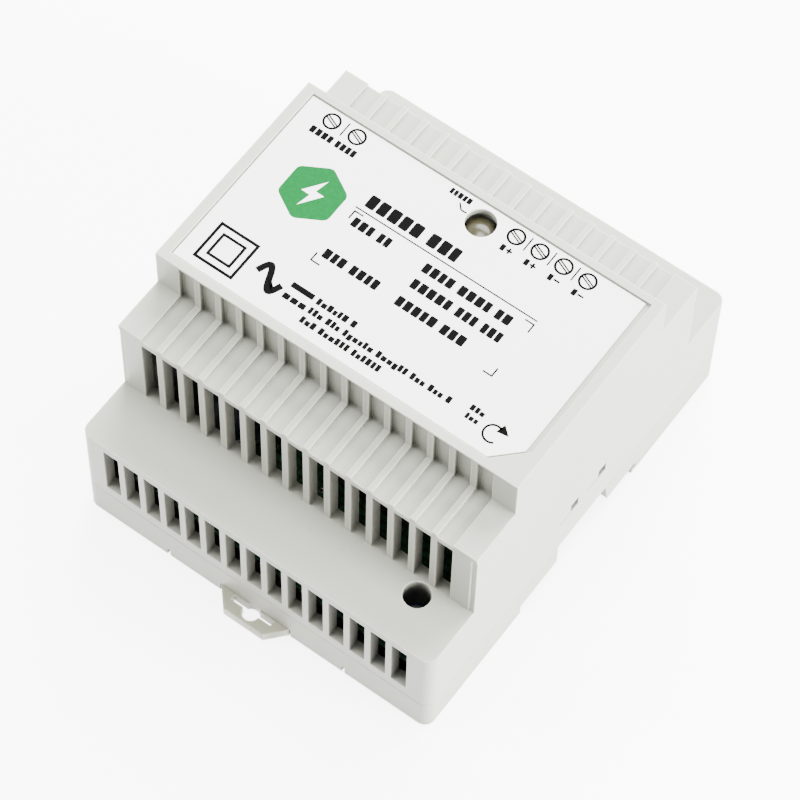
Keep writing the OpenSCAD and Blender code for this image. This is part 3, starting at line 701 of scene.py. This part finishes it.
def art_outline(art, outline, hole):
    """A prism with one hole, closed by triangles between the two loops."""
    up = Vector((0, 0, PRINT_T))
    for lift, flip in ((Vector(), True), (up, False)):
        loops = [[art.bm.verts.new(art.point(p) + lift) for p in loop] for loop in (outline, hole)]
        edges = []
        for loop in loops:
            for i in range(len(loop)):
                edges.append(art.bm.edges.new((loop[i], loop[(i + 1) % len(loop)])))
        bmesh.ops.triangle_fill(art.bm, use_beauty=True, edges=edges)
        if flip:
            lower = loops
        else:
            upper = loops
    for low, top in zip(lower, upper):
        n = len(low)
        for i in range(n):
            j = (i + 1) % n
            art.bm.faces.new([low[i], low[j], top[j], top[i]])


black_print()
green_print()


# ---------------------------------------------------------------- clip spring

def tube_along(name, points, radius, sides, material):
    """A closed round tube through the points."""
    bm = bmesh.new()
    rings = []
    for i, p in enumerate(points):
        ahead = points[min(i + 1, len(points) - 1)]
        behind = points[max(i - 1, 0)]
        direction = (ahead - behind).normalized()
        side = direction.cross(Vector((0, 1, 0))).normalized()
        up = side.cross(direction).normalized()
        rings.append([bm.verts.new(p + (side * math.cos(a) + up * math.sin(a)) * radius)
                      for a in (2 * math.pi * k / sides for k in range(sides))])
    for a, b in zip(rings, rings[1:]):
        for k in range(sides):
            bm.faces.new([a[k], a[(k + 1) % sides], b[(k + 1) % sides], b[k]])
    bm.faces.new(list(reversed(rings[0])))
    bm.faces.new(rings[-1])
    bmesh.ops.recalc_face_normals(bm, faces=bm.faces)
    mesh = bpy.data.meshes.new(name)
    bm.to_mesh(mesh)
    bm.free()
    for polygon in mesh.polygons:
        polygon.use_smooth = True
    mesh.materials.append(material)
    piece = bpy.data.objects.new(name, mesh)
    bpy.context.scene.collection.objects.link(piece)
    return piece


def clip_spring():
    """Round wire spring with flat end coils, in the place of the CAD node's plain tube."""
    low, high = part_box("clip_spring")
    wire_r = 0.17 * MM
    coils, steps_per_coil, early = 11, 20, 0.12
    centre_x, centre_z = (low.x + high.x) / 2, (low.z + high.z) / 2
    coil_r = (high.x - low.x) / 2 - wire_r
    y0, y1 = low.y + wire_r, high.y - wire_r
    points = []
    for i in range(coils * steps_per_coil + 1):
        turn = i / steps_per_coil
        angle = 2 * math.pi * turn
        # The rise begins a little before the first coil closes and ends a little after the last begins
        rise = min(1, max(0, (turn - 1 + early) / (coils - 2 + 2 * early)))
        points.append(Vector((centre_x + coil_r * math.cos(angle), y0 + (y1 - y0) * rise,
                              centre_z + coil_r * math.sin(angle))))
    piece = tube_along("coil_spring", points, wire_r, 8, materials["spring_steel"])
    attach(piece, "housing")
    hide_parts("clip_spring")
    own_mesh(piece)
    return piece


clip_spring()


# ---------------------------------------------------------------- studio

FLOOR_REACH = 1.6
FLOOR_GLOW = 5.0
LIGHT_TARGET = Vector((0, 0, 0.02))


def floor():
    """Pale glowing table that lights nothing else by diffuse light."""
    bm = bmesh.new()
    signs = ((-1, -1), (1, -1), (1, 1), (-1, 1))
    bm.faces.new([bm.verts.new((x * FLOOR_REACH, y * FLOOR_REACH, floor_z)) for x, y in signs])
    mesh = bpy.data.meshes.new("floor")
    bm.to_mesh(mesh)
    bm.free()
    material, tree, shader = new_material("floor_white")
    vector = object_coordinates(tree)
    soft = noise(tree, vector, 6, 2)
    shader.inputs["Emission Color"].default_value = (1, 1, 1, 1)
    shader.inputs["Emission Strength"].default_value = FLOOR_GLOW
    tree.links.new(ramp(tree, soft, [(0.3, grey(0.93)), (0.7, grey(0.95))]), shader.inputs["Base Color"])
    shader.inputs["Roughness"].default_value = 0.9
    shader.inputs["Specular IOR Level"].default_value = 0.1
    mesh.materials.append(material)
    piece = bpy.data.objects.new("floor", mesh)
    bpy.context.scene.collection.objects.link(piece)
    piece.visible_diffuse = False


def area_light(name, place, size, power):
    """A square soft box that faces the middle of the object."""
    data = bpy.data.lights.new(name, "AREA")
    data.shape = "SQUARE"
    data.size = size
    data.energy = power
    lamp = bpy.data.objects.new(name, data)
    lamp.location = place
    lamp.rotation_euler = (LIGHT_TARGET - Vector(place)).to_track_quat("-Z", "Y").to_euler()
    bpy.context.scene.collection.objects.link(lamp)


def world_light(strength):
    world = bpy.data.worlds.new("studio")
    world.use_nodes = True
    background = world.node_tree.nodes["Background"]
    background.inputs["Color"].default_value = (1, 1, 1, 1)
    background.inputs["Strength"].default_value = strength
    bpy.context.scene.world = world


def camera():
    """Seen from above the near right corner, long lens."""
    azimuth, elevation, roll = map(math.radians, (34.52, 61.14, 1.887))
    back = Vector((math.sin(azimuth) * math.cos(elevation), -math.cos(azimuth) * math.cos(elevation),
                   math.sin(elevation)))
    right = Vector((math.cos(azimuth), math.sin(azimuth), 0))
    up = back.cross(right)
    rolled_right = right * math.cos(roll) + up * math.sin(roll)
    rolled_up = up * math.cos(roll) - right * math.sin(roll)
    turn = Matrix((rolled_right, rolled_up, back)).transposed()
    data = bpy.data.cameras.new("camera")
    data.sensor_width = 36
    data.lens = 164.77
    data.clip_start = 0.05
    data.clip_end = 10
    obj = bpy.data.objects.new("camera", data)
    target = Vector((0, -1.3 * MM, 22.4 * MM))
    offset = Vector((-1.008, -5.361, 667.89)) * MM
    place = target + rolled_right * offset.x + rolled_up * offset.y + back * offset.z
    obj.matrix_world = Matrix.Translation(place) @ turn.to_4x4()
    bpy.context.scene.collection.objects.link(obj)
    bpy.context.scene.camera = obj


floor()
world_light(0.8)
area_light("right", (0.95, 0.1, 0.28), size=0.5, power=42)
area_light("back", (-0.1, 0.85, 0.65), size=1.1, power=66)
area_light("top", (0, 0.05, 1.2), size=0.5, power=15)
area_light("left", (-0.75, -0.45, 0.55), size=0.6, power=13)
camera()
